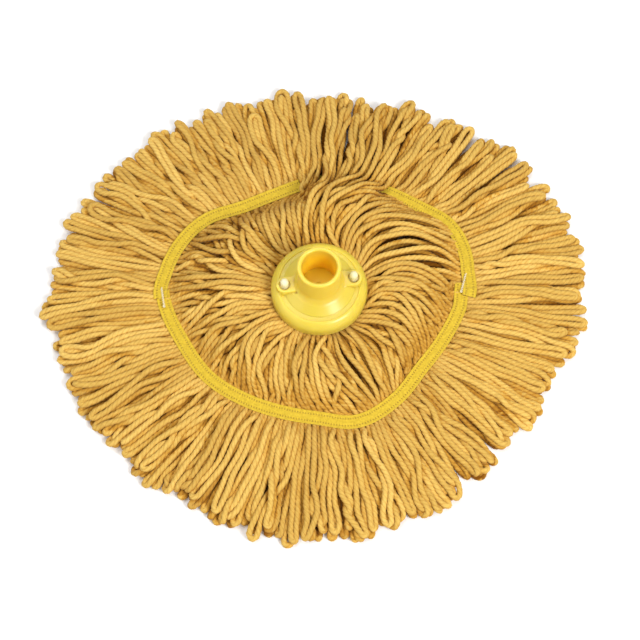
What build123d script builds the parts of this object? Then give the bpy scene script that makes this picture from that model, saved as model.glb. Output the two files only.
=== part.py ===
"""A looped-end socket mop head, lying spread out on a floor.

Frame: millimetres, +Z up, origin on the floor under the axis of the handle socket. +X runs along
the mop's longer width, +Y towards its back. A round plastic socket clamps the middle of a hank of
yarn against a plate underneath, with two long pins. The yarn spreads to both sides in two fans of
looped tufts, and a stay-flat band of tape is sewn round the fans, above and below.
"""

from build123d import *
import os
from math import cos, exp, hypot, radians, sin

os.makedirs("parts", exist_ok=True)

# The spread yarn
mop_half_width = 212.0
mop_half_depth = 188.0
yarn_slab = 9.0
rim_thickness = 4.0
rim_slope = 16.0
tufts_per_fan = 12
tuft_gap = 0.3
tuft_round = 11.0
fan_inner_radius = 31.0

# The socket
skirt_bottom = 23.0
skirt_radius = 36.2
shoulder_crest = 36.3
shoulder_radius = 30.4
ring_height = 35.5
ring_outer_radius = 29.7
ring_inner_radius = 27.0
cone_top = 40.6
cone_top_radius = 20.5
collar_base = 47.0
collar_radius = 16.2
collar_top = 67.5
lip_round = 1.65
bore_radius = 12.8
bore_depth = 31.0
bore_floor = 2.7
bore_lead_in = 1.65
wall = 2.4

# The two arms of the socket and what passes through them
pin_line_angle = 6.6
pin_circle = 25.7
arm_width = 12.5
arm_flare = 8.6
arm_top = 41.6
arm_bottom = 35.5
boss_radius = 5.9
boss_bottom = 30.6
counterbore_radius = 4.35
counterbore_depth = 2.0
pin_hole_radius = 2.6
undercut_length = 5.2
undercut_width = 1.8
undercut_depth = 1.8
pin_radius = 2.5
pin_head_radius = 3.1
pin_head_height = 9.0
pin_foot_radius = 3.9
pin_foot_height = 1.2

# The clamp underneath and the clamped waist of the hank
plate_radius = 30.0
plate_bottom = 2.2
plate_thickness = 3.8
plate_edge_round = 0.6
plate_dish_radius = 17.0
plate_dish_depth = 1.4
grip_rib_height = 1.2
grip_rib_width = 2.0
grip_rib_pitch = 9.0
grip_rib_count = 5
waist_radius = 30.4
waist_bottom = 7.5
waist_top = 30.2
waist_pin_clearance = 0.4

# The stay-flat band
band_width = 11.0
band_thickness = 0.8
band_groove_gap = 0.4
front_band_height = 9.0
back_band_height = 10.0
front_underband_height = 0.7
back_underband_height = 1.6
tack_length = 16.0
tack_width = 2.0
tack_thickness = 0.8


def finish(part, name):
    """Label a finished piece and write its STEP file."""
    part.label = name
    export_step(part, f"parts/{name}.step")


def turned(angle, radius=0.0):
    """A horizontal plane at a radius, whose local x points outwards at an angle."""
    direction = (cos(radians(angle)), sin(radians(angle)), 0)
    origin = (radius * direction[0], radius * direction[1], 0)
    return Plane(origin=origin, x_dir=direction, z_dir=(0, 0, 1))


def rim_radius(angle):
    """How far the loops reach at an angle: the mop's outline is an ellipse."""
    return 1 / hypot(cos(radians(angle)) / mop_half_width, sin(radians(angle)) / mop_half_depth)


def mound_height(angle):
    """How high the slack yarn beside the socket stands: most at the back, least in front."""
    back_bulge = exp(-(((angle - 75.0) / 70.0) ** 2))
    return 21.0 + 15.0 * back_bulge


pin_angles = (pin_line_angle, pin_line_angle + 180.0)

# ---------------------------------------------------------------- socket

with BuildPart() as socket:
    # Outer form: skirt, rounded shoulder, a ring set in between two small steps, cone and collar.
    with BuildSketch(Plane.XZ):
        with BuildLine():
            Line((0, skirt_bottom), (skirt_radius - 0.8, skirt_bottom))
            Line((skirt_radius - 0.8, skirt_bottom), (skirt_radius, skirt_bottom + 0.8))
            Line((skirt_radius, skirt_bottom + 0.8), (skirt_radius - 0.1, 27.0))
            ThreePointArc((skirt_radius - 0.1, 27.0), (34.9, 32.7), (31.6, shoulder_crest - 0.4))
            Line((31.6, shoulder_crest - 0.4), (shoulder_radius, shoulder_crest))
            ThreePointArc(
                (shoulder_radius, shoulder_crest), (29.9, 36.1), (ring_outer_radius, ring_height)
            )
            Line((ring_outer_radius, ring_height), (ring_inner_radius, ring_height + 0.2))
            ThreePointArc((ring_inner_radius, ring_height + 0.2), (26.5, 35.9), (26.2, 36.5))
            Line((26.2, 36.5), (cone_top_radius, cone_top))
            ThreePointArc((cone_top_radius, cone_top), (17.3, 43.3), (collar_radius, collar_base))
            Line((collar_radius, collar_base), (collar_radius, collar_top - lip_round))
            ThreePointArc(
                (collar_radius, collar_top - lip_round),
                (collar_radius - 0.4, collar_top - 0.4),
                (collar_radius - lip_round, collar_top),
            )
            Line((collar_radius - lip_round, collar_top), (0, collar_top))
            Line((0, collar_top), (0, skirt_bottom))
        make_face()
    revolve(axis=Axis.Z)

    # The bell inside, which leaves an even wall and a core-out round the bore.
    with BuildSketch(Plane.XZ):
        with BuildLine():
            Polyline(
                (0, skirt_bottom - 1),
                (skirt_radius - wall, skirt_bottom - 1),
                (skirt_radius - wall - 0.2, 28.0),
                (32.9, 31.4),
                (30.6, ring_height - wall + 0.3),
                (26.4, ring_height - wall + 0.3),
                (20.0, 38.1),
                (collar_radius + 0.4, 38.1),
                (collar_radius + 0.4, collar_top - bore_depth - bore_floor),
                (0, collar_top - bore_depth - bore_floor),
                (0, skirt_bottom - 1),
            )
        make_face()
    revolve(axis=Axis.Z, mode=Mode.SUBTRACT)

    # Two arms from the collar to round pin bosses.
    for angle in pin_angles:
        with BuildSketch(turned(angle).offset(arm_bottom)):
            with BuildLine():
                Polyline(
                    (10.0, arm_width / 2),
                    (10.0, -arm_flare),
                    (15.6, -arm_flare),
                    (20.2, -arm_width / 2),
                    (pin_circle, -arm_width / 2),
                    (pin_circle, arm_width / 2),
                    (10.0, arm_width / 2),
                )
            make_face()
        extrude(amount=arm_top - arm_bottom)
        with BuildSketch(turned(angle, pin_circle).offset(boss_bottom)):
            Circle(boss_radius + 0.45)
        extrude(amount=arm_top - boss_bottom)
    arm_rims = socket.edges().filter_by_position(Axis.Z, arm_top - 0.01, arm_top + 0.01)
    outer_rims = arm_rims.filter_by(lambda e: hypot(e.center().X, e.center().Y) > cone_top_radius - 1.2)
    fillet(outer_rims, radius=0.7)

    # The bore for the handle, with a rounded lead-in.
    with BuildSketch(Plane.XY.offset(collar_top - bore_depth)):
        Circle(bore_radius)
    extrude(amount=bore_depth + 1, mode=Mode.SUBTRACT)
    mouth_rims = socket.edges().filter_by(GeomType.CIRCLE).filter_by_position(
        Axis.Z, collar_top - 0.01, collar_top + 0.01
    )
    fillet(mouth_rims.sort_by(SortBy.RADIUS)[0], radius=bore_lead_in)

    # Through each boss: a counterbored pin hole. Beside each arm: a small undercut.
    for angle in pin_angles:
        with BuildSketch(turned(angle, pin_circle).offset(boss_bottom - 1)):
            Circle(pin_hole_radius)
        extrude(amount=arm_top - boss_bottom + 2, mode=Mode.SUBTRACT)
        with BuildSketch(turned(angle, pin_circle).offset(arm_top - counterbore_depth)):
            Circle(counterbore_radius)
        extrude(amount=counterbore_depth + 1, mode=Mode.SUBTRACT)
        with BuildSketch(turned(angle).offset(arm_top - undercut_depth)):
            with Locations((collar_radius + 2.2, (arm_width + undercut_width) / 2)):
                Rectangle(undercut_length, undercut_width)
        extrude(amount=undercut_depth, mode=Mode.SUBTRACT)
finish(socket.part, "socket")

# ---------------------------------------------------------------- clamp

with BuildPart() as clamp_plate:
    with BuildSketch(Plane.XY.offset(plate_bottom)):
        Circle(plate_radius)
    extrude(amount=plate_thickness)
    fillet(clamp_plate.edges().filter_by(GeomType.CIRCLE), radius=plate_edge_round)
    # Ribs on top bite into the yarn, along the line of the pins.
    rib_lines = [(i - (grip_rib_count - 1) / 2) * grip_rib_pitch for i in range(grip_rib_count)]
    with BuildSketch(turned(pin_line_angle).offset(plate_bottom + plate_thickness)):
        for y in rib_lines:
            rib_length = 2 * (plate_radius**2 - (abs(y) + grip_rib_width) ** 2) ** 0.5 - 4.0
            with Locations((0, y)):
                Rectangle(rib_length, grip_rib_width)
    extrude(amount=grip_rib_height)
    for angle in pin_angles:
        with BuildSketch(turned(angle, pin_circle)):
            Circle(pin_hole_radius)
        extrude(amount=waist_bottom, mode=Mode.SUBTRACT)
    # A shallow dish underneath lightens the plate.
    with BuildSketch(Plane.XY.offset(plate_bottom)):
        Circle(plate_dish_radius)
    extrude(amount=plate_dish_depth, mode=Mode.SUBTRACT)
finish(clamp_plate.part, "clamp_plate")

head_base = arm_top - counterbore_depth
head_top = head_base + pin_head_height
foot_bottom = plate_bottom - pin_foot_height
dome_height = 3.0
dome_radius = (pin_head_radius**2 + dome_height**2) / (2 * dome_height)
dome_centre = head_top - dome_radius
dome_half_way = pin_head_radius * 0.6
with BuildPart() as clamp_pin:
    with BuildSketch(Plane.XZ):
        with BuildLine():
            Polyline(
                (0, head_top),
                (0, foot_bottom),
                (pin_foot_radius - 0.5, foot_bottom),
                (pin_foot_radius, plate_bottom - 0.5),
                (pin_foot_radius, plate_bottom),
                (pin_radius, plate_bottom),
                (pin_radius, head_base),
                (pin_head_radius, head_base),
                (pin_head_radius, head_top - dome_height),
            )
            ThreePointArc(
                (pin_head_radius, head_top - dome_height),
                (dome_half_way, dome_centre + (dome_radius**2 - dome_half_way**2) ** 0.5),
                (0, head_top),
            )
        make_face()
    revolve(axis=Axis.Z)
with BuildPart() as clamp_pins:
    with PolarLocations(pin_circle, len(pin_angles), start_angle=pin_line_angle):
        add(clamp_pin.part)
finish(clamp_pins.part, "clamp_pins")

# ---------------------------------------------------------------- stay-flat band

# The back half of the band runs from right to left, the front half from left to right, and their
# ends lap at both sides, where a bar tack joins them.
back_route = [(114, 1), (113, 18), (107, 51), (77, 77), (46, 92), (-6, 98), (-57, 78), (-102, 52)]
back_route += [(-115, 28), (-119, 0)]
front_route = [(-118, 14), (-113, -16), (-86, -60), (-55, -82), (-4, -96), (26, -99), (58, -80)]
front_route += [(89, -40), (103, -16), (109, 13)]
tack_places = ((110.0, 12.3, 75.0), (-118.7, 0.3, 100.0))


def band(route, height, width, thickness):
    """A flat strip along a route on the floor plan, at a height."""
    with BuildPart() as strip:
        with BuildLine() as path:
            Spline(*[(x, y, height) for x, y in route])
        with BuildSketch(Plane(origin=path.line @ 0, x_dir=(0, 0, 1), z_dir=path.line % 0)):
            Rectangle(thickness, width)
        sweep(path=path.line)
    return strip.part


bands = {
    "band_top_front": band(front_route, front_band_height, band_width, band_thickness),
    "band_top_back": band(back_route, back_band_height, band_width, band_thickness),
    "band_under_front": band(front_route, front_underband_height, band_width, band_thickness),
    "band_under_back": band(back_route, back_underband_height, band_width, band_thickness),
}
for name, strip in bands.items():
    finish(strip, name)

for side, (x, y, angle) in zip(("right", "left"), tack_places):
    with BuildPart() as tack:
        top = back_band_height + band_thickness / 2
        tack_plane = Plane(origin=(x, y, top), x_dir=(cos(radians(angle)), sin(radians(angle)), 0))
        with BuildSketch(tack_plane):
            SlotOverall(tack_length, tack_width)
        extrude(amount=tack_thickness)
    finish(tack.part, f"bar_tack_{side}")

# The space that the band needs in the yarn: a groove on top, and one underneath.
groove_width = band_width + 2 * band_groove_gap
groove_floor = front_band_height - band_thickness / 2 - band_groove_gap
groove_roof = back_underband_height + band_thickness / 2 + band_groove_gap
top_depth = 2 * (back_band_height + 2 - groove_floor)
band_space = [
    band(route, height, groove_width, depth)
    for route in (back_route, front_route)
    for height, depth in ((groove_floor + top_depth / 2, top_depth), (0, 2 * groove_roof))
]

# ---------------------------------------------------------------- yarn

with BuildPart() as yarn_waist:
    with BuildSketch(Plane.XY.offset(waist_bottom)):
        Circle(waist_radius)
    extrude(amount=waist_top - waist_bottom)
    for angle in pin_angles:
        with BuildSketch(turned(angle, pin_circle).offset(waist_bottom)):
            Circle(pin_radius + waist_pin_clearance)
        extrude(amount=waist_top - waist_bottom, mode=Mode.SUBTRACT)
finish(yarn_waist.part, "yarn_waist")


def tuft(angle):
    """One tuft of loops: a wedge of the fan, with a rounded outer end and a mounded inner end."""
    half_angle = radians(90.0 / tufts_per_fan)
    reach = rim_radius(angle)
    shoulder = reach - tuft_round
    mound = mound_height(angle)

    def side(radius):
        return radius * sin(half_angle) - tuft_gap

    with BuildPart() as body:
        with BuildSketch(turned(angle)):
            with BuildLine():
                Line((fan_inner_radius, -side(fan_inner_radius)), (shoulder, -side(shoulder)))
                ThreePointArc((shoulder, -side(shoulder)), (reach, 0), (shoulder, side(shoulder)))
                Line((shoulder, side(shoulder)), (fan_inner_radius, side(fan_inner_radius)))
                Line((fan_inner_radius, side(fan_inner_radius)), (fan_inner_radius, -side(fan_inner_radius)))
            make_face()
        extrude(amount=collar_top)
        with BuildSketch(Plane.XZ):
            with BuildLine():
                Polyline(
                    (82.0, yarn_slab),
                    (reach - rim_slope, yarn_slab),
                    (reach + 1, rim_thickness),
                    (reach + 1, 0),
                    (fan_inner_radius - 1, 0),
                    (fan_inner_radius - 1, skirt_bottom - 0.5),
                    (skirt_radius + 0.4, skirt_bottom - 0.5),
                    (skirt_radius + 0.4, mound - 4.0),
                )
                Spline(
                    (skirt_radius + 0.4, mound - 4.0),
                    (48.0, mound),
                    (66.0, 0.55 * mound + 3.5),
                    (82.0, yarn_slab),
                    tangents=((1, 0.5), (1, 0)),
                )
            make_face()
        revolve(axis=Axis.Z, mode=Mode.INTERSECT)
        for space in band_space:
            add(space, mode=Mode.SUBTRACT)
    return body.part


for fan, first_angle in (("back", 0.0), ("front", 180.0)):
    for i in range(tufts_per_fan):
        middle = first_angle + (i + 0.5) * 180.0 / tufts_per_fan
        finish(tuft(middle), f"yarn_{fan}_{i + 1:02d}")
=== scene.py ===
"""The looks of a looped-end string mop head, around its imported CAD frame.

Every size is in metres, in the frame of the CAD model: +Z up from the floor, the handle socket's
axis through the origin, +X along the mop's longer width. The yarn is laid out loop by loop, its
strands are pushed apart so that they lie beside and on each other, and each gets a three-ply
twisted section.
"""

import math

import bpy
import numpy as np
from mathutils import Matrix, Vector


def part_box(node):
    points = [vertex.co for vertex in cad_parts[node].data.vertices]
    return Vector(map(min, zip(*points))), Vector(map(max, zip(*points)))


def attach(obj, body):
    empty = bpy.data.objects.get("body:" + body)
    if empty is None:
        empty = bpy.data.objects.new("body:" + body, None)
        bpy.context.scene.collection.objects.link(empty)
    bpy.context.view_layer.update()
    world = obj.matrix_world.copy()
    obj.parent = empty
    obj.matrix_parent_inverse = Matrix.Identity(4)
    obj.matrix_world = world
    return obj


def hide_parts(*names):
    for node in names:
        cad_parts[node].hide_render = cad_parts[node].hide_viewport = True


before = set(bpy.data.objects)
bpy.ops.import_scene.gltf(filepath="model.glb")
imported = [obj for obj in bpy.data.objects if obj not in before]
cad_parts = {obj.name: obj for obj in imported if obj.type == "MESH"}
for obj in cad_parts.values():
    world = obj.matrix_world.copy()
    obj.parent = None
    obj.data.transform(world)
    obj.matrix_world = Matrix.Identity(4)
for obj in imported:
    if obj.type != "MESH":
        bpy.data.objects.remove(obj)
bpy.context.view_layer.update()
rng = np.random.default_rng(20)

MM = 0.001

# ---------------------------------------------------------------- places, from the frame

socket_low, socket_high = (np.array(corner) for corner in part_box("socket"))
plate_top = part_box("clamp_plate")[1][2]
waist_low, waist_high = (np.array(corner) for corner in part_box("yarn_waist"))
pin_low, pin_high = (np.array(corner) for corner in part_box("clamp_pins"))
skirt_radius = (socket_high[0] - socket_low[0]) / 2
skirt_bottom = socket_low[2]
waist_radius = (waist_high[0] - waist_low[0]) / 2
tape_levels = {
    (side, fan): tuple(corner[2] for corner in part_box(f"band_{side}_{fan}"))
    for side in ("top", "under")
    for fan in ("back", "front")
}

# ---------------------------------------------------------------- yarn dimensions

TUFTS_PER_FAN = 12
LOOPS_PER_TUFT = 12
STRAND = 4.5 * MM
LAY_SHARE = 0.93
TWIST_PITCH = 12.5 * MM
POINTS_PER_LOOP = 136
RING_SPACING = 1.25 * MM
SECTION_POINTS = 12
HAIRPIN = 5.6 * MM
# How far a loop reaches past the end of its two legs.
LOOP_END = 5 * MM
TAPE_WIDTH = 10.4 * MM


# ---------------------------------------------------------------- small helpers


def smooth_step(x):
    """0 below 0, 1 above 1, and smooth between."""
    x = np.clip(x, 0.0, 1.0)
    return x * x * (3 - 2 * x)


def bell(angle, middle, width):
    """A bump of height 1 round an angle, in degrees, that wraps at 360."""
    away = (np.asarray(angle) - middle + 180.0) % 360.0 - 180.0
    return np.exp(-((away / width) ** 2))


def through(at, value, t):
    """A smooth curve through knots (at, value), which may be unevenly spaced, read at t."""
    at, value = np.asarray(at, float), np.asarray(value, float)
    slope = np.gradient(value, at)
    k = np.clip(np.searchsorted(at, t, side="right") - 1, 0, len(at) - 2)
    span = at[k + 1] - at[k]
    s = (t - at[k]) / span
    ends = value[k] * (1 + 2 * s) * (1 - s) ** 2 + value[k + 1] * s**2 * (3 - 2 * s)
    return ends + span * (slope[k] * s * (1 - s) ** 2 - slope[k + 1] * s**2 * (1 - s))


def periodic(angles, knots):
    """A smooth closed function of the angle in degrees, through a few (angle, value) knots."""
    at = np.array([a for a, _ in knots], float)
    value = np.array([v for _, v in knots], float)
    at = np.concatenate([at - 360, at, at + 360])
    return through(at, np.tile(value, 3), np.asarray(angles, float) % 360.0)


def waves(angles, seed, count=6, lowest=2):
    """A smooth random closed function of the angle in degrees, about 1 high."""
    source = np.random.default_rng(seed)
    t = np.radians(np.asarray(angles, float))
    total = np.zeros_like(t)
    for k in range(lowest, lowest + count):
        total += source.normal() * np.sin(k * t + source.uniform(0, 2 * np.pi))
    return total / math.sqrt(count / 2)


def drift(angle, along, seed, turns=(5, 30), swings=(1.5, 6.0), count=9):
    """A smooth random function of the angle in degrees and of the way along a leg, about 1 high."""
    source = np.random.default_rng(seed)
    total = np.zeros_like(along)
    for _ in range(count):
        turn = source.integers(*turns)
        phase = turn * math.radians(angle) + source.uniform(*swings) * along
        total += source.normal() * np.sin(phase + source.uniform(0, 2 * np.pi))
    return total / math.sqrt(count / 2)


# ---------------------------------------------------------------- the mop's outlines

# Each table holds (angle in degrees, value in mm or degrees), anticlockwise from +X.
RIM_RADII = (
    (0, 210), (15, 212), (45, 204), (65, 191), (90, 184), (115, 190), (150, 204), (176, 213), (205, 202),
    (225, 194), (270, 192), (300, 188), (318, 186), (345, 197),
)
BAND_RADII = (
    (6, 113), (18, 118), (31, 118), (45, 109), (60, 104), (75, 101), (93, 98), (113, 94), (128, 97),
    (144, 110), (160, 117), (174, 119), (184, 116), (198, 109), (218, 104), (237, 98), (256, 95),
    (270, 96), (285, 102), (305, 99), (323, 95), (340, 99), (358, 108),
)
# Where the yarn parts, as (angle, half-width in degrees): near the skirt, and out at the rim.
SLACK_PARTINGS = (
    (13, 4), (34, 5), (60, 4), (108, 4), (133, 4), (158, 5), (177, 4), (206, 3), (244, 5), (272, 3), (309, 6),
    (338, 4),
)
RIM_PARTINGS = (
    (24, 2.5), (38.5, 3), (47.5, 3), (58.5, 3), (81, 2.5), (112, 2.5), (139, 3), (171, 2.5), (204, 2.5),
    (231, 2.5), (262, 2.5), (307, 4), (345, 2.5),
)
# How far round a strand leaves the skirt, past the place where it goes under the band.
EXIT_TURN = (
    (0, 8), (20, 20), (40, 27), (60, 24), (80, 15), (95, 14), (110, 22), (130, 17), (150, 7), (175, 2),
    (200, 2), (222, -4), (240, -13), (250, -18), (258, -17), (268, -16), (280, -14), (297, -12), (305, 12),
    (320, 20), (340, 13),
)
# How the slack between skirt and band bulges, anticlockwise, and how high its crest stands.
SIDE_BULGE = (
    (0, 8), (20, 14), (40, 18), (60, 14), (80, 9), (95, 10), (110, 16), (130, 12), (150, 4), (165, -3),
    (180, -4), (200, -6), (225, -9), (243, -10), (252, 6), (262, -3), (280, -6), (298, 0), (305, 12),
    (320, 16), (340, 12),
)
CREST = (
    (0, 27), (20, 30), (40, 33), (60, 36), (82, 39), (100, 37), (120, 31), (140, 26), (165, 22), (190, 20),
    (220, 19), (250, 19), (280, 20), (305, 23), (330, 26),
)
# Where the top strands run over the band instead of under it: 0 nowhere, 1 all of them.
OVERHANG = (
    (0, 0), (24, 0), (40, 0), (52, 0), (60, 0.1), (65, 0.5), (70, 0.95), (78, 1), (88, 0.9), (95, 0.3),
    (101, 0), (180, 0), (270, 0),
)


def lap(angles):
    """How far the yarn inside the band bulges over the tape's inner edge."""
    return 4.4 * MM * np.maximum(bell(angles, 58, 11), 0.9 * bell(angles, 34, 12))


def parted(angles, partings, strength):
    """How far, in degrees, strands at some angles lie aside from the partings near them."""
    angles = np.asarray(angles, float)
    total = np.zeros_like(angles)
    for middle, width in partings:
        away = (angles - middle + 180.0) % 360.0 - 180.0
        total = total + strength * away * np.exp(-((away / width) ** 2))
    return total


def rim(angles):
    """How far the loops reach."""
    return (periodic(angles, RIM_RADII) + 1.6 * waves(angles, 21, 12, 14)) * MM


def band_radius(angles):
    """The band's centreline: a rounded hexagon pulled out at the left and right."""
    return periodic(angles, BAND_RADII) * MM


def girth(radius, angles, layer):
    """A strand's thickness as a share of its free one: less under the band, and low down by the skirt."""
    at_band = np.exp(-(((radius - band_radius(angles)) / (12 * MM)) ** 2))
    at_skirt = 1 - smooth_step((radius - skirt_radius - 2 * MM) / (26 * MM))
    on_top = smooth_step((layer - 0.55) / 0.35)
    return 1 - (0.30 - 0.12 * on_top) * at_band - (0.42 - 0.32 * on_top) * at_skirt


# ---------------------------------------------------------------- yarn: the lay of each leg

LOOPS = 2 * TUFTS_PER_FAN * LOOPS_PER_TUFT
loop_angle = (np.arange(LOOPS) + 0.5) * 360.0 / LOOPS
loop_layer = (np.arange(LOOPS) * 0.618034 + 0.3) % 1.0
loop_tuft = np.arange(LOOPS) // LOOPS_PER_TUFT
ragged = 4.0 + 3.5 * bell(loop_angle, 55, 45) + 1.5 * bell(loop_angle, 0, 20)
for parting, breadth in RIM_PARTINGS:
    ragged = ragged + 5.0 * bell(loop_angle, parting, 0.6 * breadth) * bell(parting, 50, 40)
loop_short = np.abs(rng.normal(0, 1.0, LOOPS)) * ragged * MM
loop_swing = rng.normal(0, 1.0, LOOPS)


def clumped(angles, count, pull, seed):
    """Angles drawn together into a number of uneven clumps."""
    phase = np.radians(angles) * count + 1.1 * waves(angles, seed, 5, 3)
    return angles - np.degrees(pull / count * np.sin(phase))


def slack_route(angle, layer, exit_angle, band_angle, jitter):
    """A leg between the skirt and the band, as radius, angle and height."""
    u = np.linspace(0, 1, 88, endpoint=False)
    held = band_radius(band_angle)
    lip = skirt_radius + 0.5 * MM
    gap = held - lip
    flop = overrun(angle, layer)
    bulging = lap(angle) * smooth_step((layer - 0.4) / 0.3)
    lowest = 0.5 * STRAND
    crest = lowest + (periodic(angle, CREST) * MM + 1.5 * MM * waves(angle, 12, 9, 7) - lowest) * layer
    leaves = exit_height(layer)
    held_height = crossing_height(angle, layer)
    knots = (0, 0.28, 0.60, 0.80, 0.92, 1)
    radius = through(
        knots,
        (
            lip,
            lip + 0.30 * gap,
            lip + 0.66 * gap,
            held - 15 * MM + 1.5 * bulging,
            held - 8.5 * MM + 1.3 * bulging,
            held + 0.3 * bulging,
        ),
        u,
    )
    height = through(
        knots,
        (
            leaves,
            0.45 * leaves + 0.60 * crest,
            crest,
            (0.66 + 0.15 * flop) * crest,
            held_height + (1.5 + 2 * layer + 5 * flop) * MM + 0.9 * bulging,
            held_height,
        ),
        u,
    )
    loose = 0.5 + 0.9 * layer
    ripple = 2.6 * loose * jitter[3] * np.sin(2 * np.pi * u + jitter[4])
    ripple += 1.3 * loose * np.sin((4.2 + 0.8 * jitter[9]) * np.pi * u + 2 * jitter[5])
    bulge = periodic(angle, SIDE_BULGE) * (0.06 + 0.94 * layer) + 2.6 * loose * jitter[2]
    aside = 1.35 * layer * parted(angle + exit_angle - band_angle, SLACK_PARTINGS, 1.5)
    sideways = (bulge + aside) * np.sin(np.pi * u**0.9)
    sideways += ((0.6 + 1.8 * layer) * drift(angle, u, 11) + ripple) * np.sin(np.pi * u)
    sideways += (0.3 + 2.6 * layer) * drift(angle, u, 17, (14, 38), (0.5, 5.0)) * np.sin(np.pi * u)
    turn = exit_angle + (band_angle - exit_angle) * smooth_step(u) + np.degrees(sideways * MM / radius)
    height = height + (1.3 * layer * MM) * np.sin(5 * np.pi * u + 3 * jitter[6]) * np.sin(np.pi * u)
    return radius, turn, height


def exit_height(layer):
    """Where a strand comes out under the skirt."""
    lowest = plate_top + 0.35 * STRAND
    highest = skirt_bottom - 0.47 * STRAND
    return lowest + (highest - lowest) * layer


def band_height(layer):
    """Where a strand passes between the band's two tapes."""
    lowest = tape_levels["under", "back"][1] + 0.35 * STRAND
    highest = tape_levels["top", "front"][0] - 0.42 * STRAND
    return lowest + (highest - lowest) * layer


def overrun(angle, layer):
    """1 for a strand that runs over the band, 0 for one that the band holds down."""
    return periodic(angle, OVERHANG) * smooth_step((layer - 0.35) / 0.15)


def crossing_height(angle, layer):
    """Where a strand passes the band, over it or between its two tapes."""
    over = tape_levels["top", "back"][1] + 1.3 * STRAND + 6 * MM * max(layer - 0.5, 0)
    between = band_height(layer)
    return between + (over - between) * overrun(angle, layer)


def leg_route(i, layer, side):
    """The centreline of one leg of loop i, from the waist under the skirt to the loop's end, as points."""
    angle = loop_angle[i]
    jitter = rng.normal(0, 1.0, 10)
    mess = 1.2 + 2.0 * bell(angle, 320, 16) + 1.3 * bell(angle, 150, 12) + 0.8 * bell(angle, 60, 25)
    band_angle = clumped(angle, 30, 0.75 * layer, 4) + 0.85 * side
    band_angle += (0.4 + 0.5 * layer) * jitter[0]
    exit_angle = clumped(angle, 17, 0.8 * layer, 5) + periodic(angle, EXIT_TURN) * (0.06 + 0.94 * layer)
    exit_angle += 1.6 * side + (1.4 + 1.6 * layer) * jitter[1]
    rim_angle = clumped(angle, 36, 0.8 * layer, 3) + mess * layer * loop_swing[i]
    rim_angle += parted(angle, RIM_PARTINGS, 0.6)

    # Inside the bell, from the waist to the skirt's edge.
    under = np.linspace(0, 1, 12, endpoint=False)
    start = waist_radius - 2 * MM
    waist_height = waist_low[2] + 2.5 * MM + layer * (skirt_bottom - waist_low[2] - 6 * MM)
    radius = start + (skirt_radius + 0.5 * MM - start) * under
    height = waist_height + (exit_height(layer) - waist_height) * smooth_step(under)
    parts = [(radius, np.full_like(under, exit_angle), height)]

    parts.append(slack_route(angle, layer, exit_angle, band_angle, jitter))

    # Under the band and out to the loop's end.
    v = np.linspace(0, 1, 76)
    held = band_radius(band_angle)
    radius = held + (rim(angle) - LOOP_END - loop_short[i] - held) * v
    swell = (0.5 + 2.6 * layer) * drift(angle, v, 13, (10, 46)) * np.sin(np.pi * v * 0.85)
    ripple = (0.5 + 0.5 * abs(jitter[6])) * np.sin(2 * np.pi * (1.7 + 0.5 * jitter[8]) * v + 3 * jitter[7])
    ripple += 0.45 * np.sin(2 * np.pi * 4.1 * v + 3 * jitter[4])
    turn = band_angle + (rim_angle - band_angle) * smooth_step(v)
    turn = turn + np.degrees((swell + (1.2 + 0.9 * layer) * ripple * smooth_step(5 * v)) * MM / radius)
    end_height = (0.5 + 0.95 * layer) * STRAND
    wander = 0.7 * np.sin(2 * np.pi * (1.5 * v + jitter[5])) * smooth_step(5 * v)
    lift = (3.0 * layer * np.sin(np.pi * v**0.7) + wander) * MM
    held_height = crossing_height(angle, layer)
    height = held_height + (end_height - held_height) * v + lift
    parts.append((radius, turn, height))

    radius, turn, height = (np.concatenate([p[i] for p in parts]) for i in range(3))
    t = np.radians(turn)
    return np.stack([radius * np.cos(t), radius * np.sin(t), height], axis=1)


def even(points, count):
    """A polyline resampled to a number of evenly spaced points."""
    step = np.linalg.norm(np.diff(points, axis=0), axis=1)
    along = np.concatenate([[0], np.cumsum(step)])
    at = np.linspace(0, along[-1], count)
    return np.stack([np.interp(at, along, points[:, k]) for k in range(3)], axis=1)


def loop_route(i):
    """A whole loop: out along one leg, round the hairpin, and back along the other."""
    out = leg_route(i, loop_layer[i], -1.0)
    back = leg_route(i, np.clip(loop_layer[i] + 0.10 * rng.normal(), 0, 1), 1.0)
    tilt = rng.uniform(-1.0, 1.0)
    pin = HAIRPIN * (rng.uniform(0.9, 1.25) + 0.6 * (rng.uniform() < 0.15))
    t = math.radians(loop_angle[i])
    across = np.array([-math.sin(t) * math.cos(tilt), math.cos(t) * math.cos(tilt), 0.45 * math.sin(tilt)])
    # Towards the end the two legs run side by side, a hairpin's width apart.
    for leg, side in ((out, -1.0), (back, 1.0)):
        share = smooth_step((np.arange(len(leg)) - len(leg) * 0.66) / (len(leg) * 0.34))[:, None]
        neck = 0.5 * STRAND + (0.5 * pin - 0.5 * STRAND) * smooth_step((share - 0.7) / 0.3)
        level = (out + back) / 2
        leg[:] = leg * (1 - share) + (level + side * neck * across) * share
    heading = out[-1] + back[-1] - out[-6] - back[-6]
    heading /= np.linalg.norm(heading)
    middle = (out[-1] + back[-1]) / 2
    bend = []
    for turn in np.linspace(-math.pi / 2, math.pi / 2, 9)[1:-1]:
        bend.append(middle + pin / 2 * (math.sin(turn) * across + math.cos(turn) * heading))
    return even(np.concatenate([out, bend, back[::-1]]), POINTS_PER_LOOP)


# ---------------------------------------------------------------- yarn: strands pushed apart

# A cell and half of its neighbours, so that each pair of cells is met once.
HALF_CELLS = [(0, 0, 0), (0, 0, 1)]
HALF_CELLS += [(0, 1, dz) for dz in (-1, 0, 1)]
HALF_CELLS += [(1, dy, dz) for dy in (-1, 0, 1) for dz in (-1, 0, 1)]
ROUNDS = 140
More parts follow.
